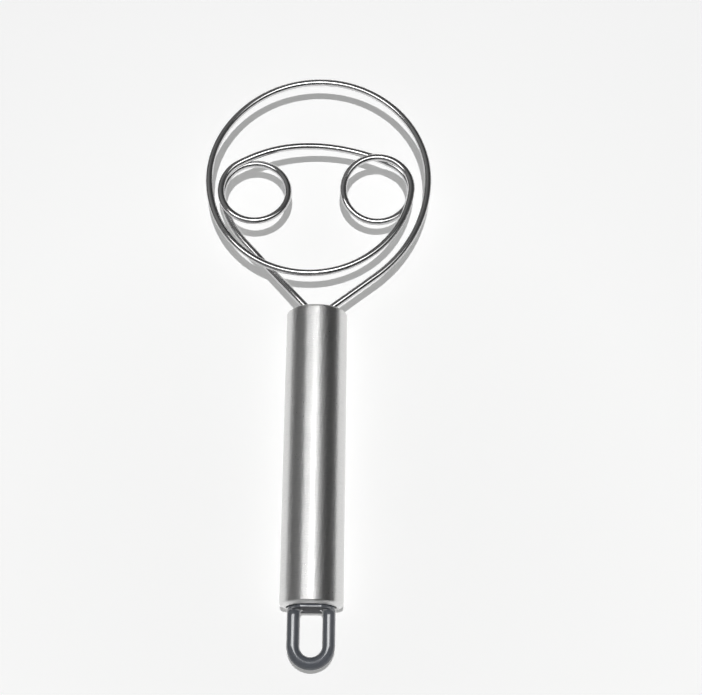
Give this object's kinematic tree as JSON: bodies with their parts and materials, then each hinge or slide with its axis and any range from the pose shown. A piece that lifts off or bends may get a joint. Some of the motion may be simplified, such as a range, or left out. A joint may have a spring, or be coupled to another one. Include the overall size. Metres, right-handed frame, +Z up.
{
  "type": "dough whisk",
  "caption": "Dough whisk: a round hollow steel handle with a plastic hanging loop, and a head bent from steel wire into a ring with an inner arc and two small loops.",
  "frame": {"origin": "under the middle of the whisk's overall length and width, on the surface it lies on", "axes": "+Y along the handle from the hanging loop to the head, +X to the right seen from above, +Z up out of the plane of the head"},
  "size_m": [0.0968, 0.2564, 0.025],
  "materials": {
    "tube_steel": "fine satin brushing round the tube",
    "cap_steel": "satin",
    "wire_steel": "polished stainless wire",
    "core_plastic": "plain moulded, inside the handle",
    "loop_plastic": "glossy black moulding"
  },
  "bodies": {
    "root": {"handle_tube": "tube_steel", "front_cap": "cap_steel", "wire_holder": "core_plastic", "whisk_wire": "wire_steel", "hang_loop": "loop_plastic"}
  },
  "joints": []
}
